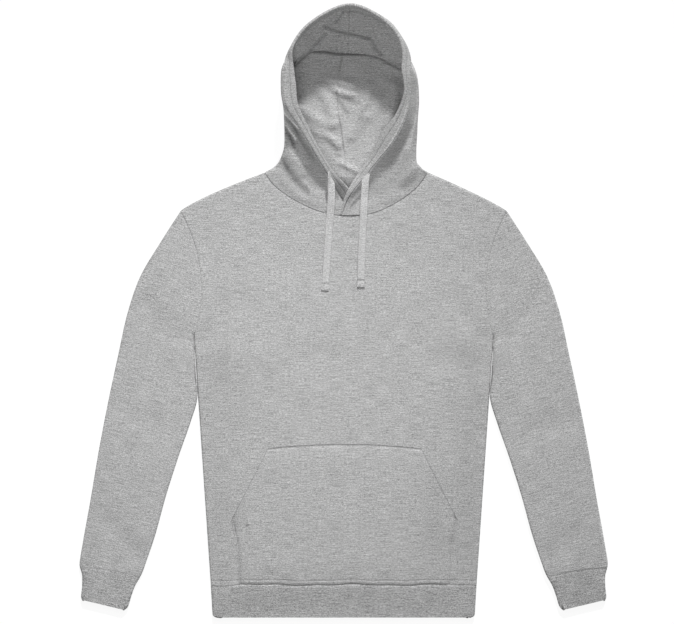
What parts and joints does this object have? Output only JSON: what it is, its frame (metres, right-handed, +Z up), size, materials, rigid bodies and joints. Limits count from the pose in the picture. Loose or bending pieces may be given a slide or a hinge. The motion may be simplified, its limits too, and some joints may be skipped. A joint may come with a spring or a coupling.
{
  "type": "pullover hoodie",
  "caption": "Long-sleeved pullover hoodie of heather fleece, laid flat with its hood open, with a kangaroo pocket, ribbed cuffs and waistband, and a flat drawcord.",
  "frame": {"origin": "the middle of the flat garment's footprint, on the ground that it lies on", "axes": "+Z up from the ground, +Y from the waistband towards the hood, +X across the front, towards the wearer's left sleeve"},
  "size_m": [0.845, 0.9816, 0.0843],
  "materials": {
    "fleece": "matte heathered jersey, brushed inside",
    "rib": "matte heathered fine rib",
    "drawcord": "matte flat woven cord"
  },
  "bodies": {
    "root": {"front": "fleece", "back": "fleece", "sleeve_left": "fleece", "sleeve_right": "fleece", "pocket": "fleece", "hood_left": "fleece", "hood_right": "fleece", "hood_hem_left": "fleece", "hood_hem_right": "fleece", "cuff_left": "rib", "cuff_right": "rib", "waistband": "rib", "cord_left": "drawcord", "cord_right": "drawcord"}
  },
  "joints": []
}
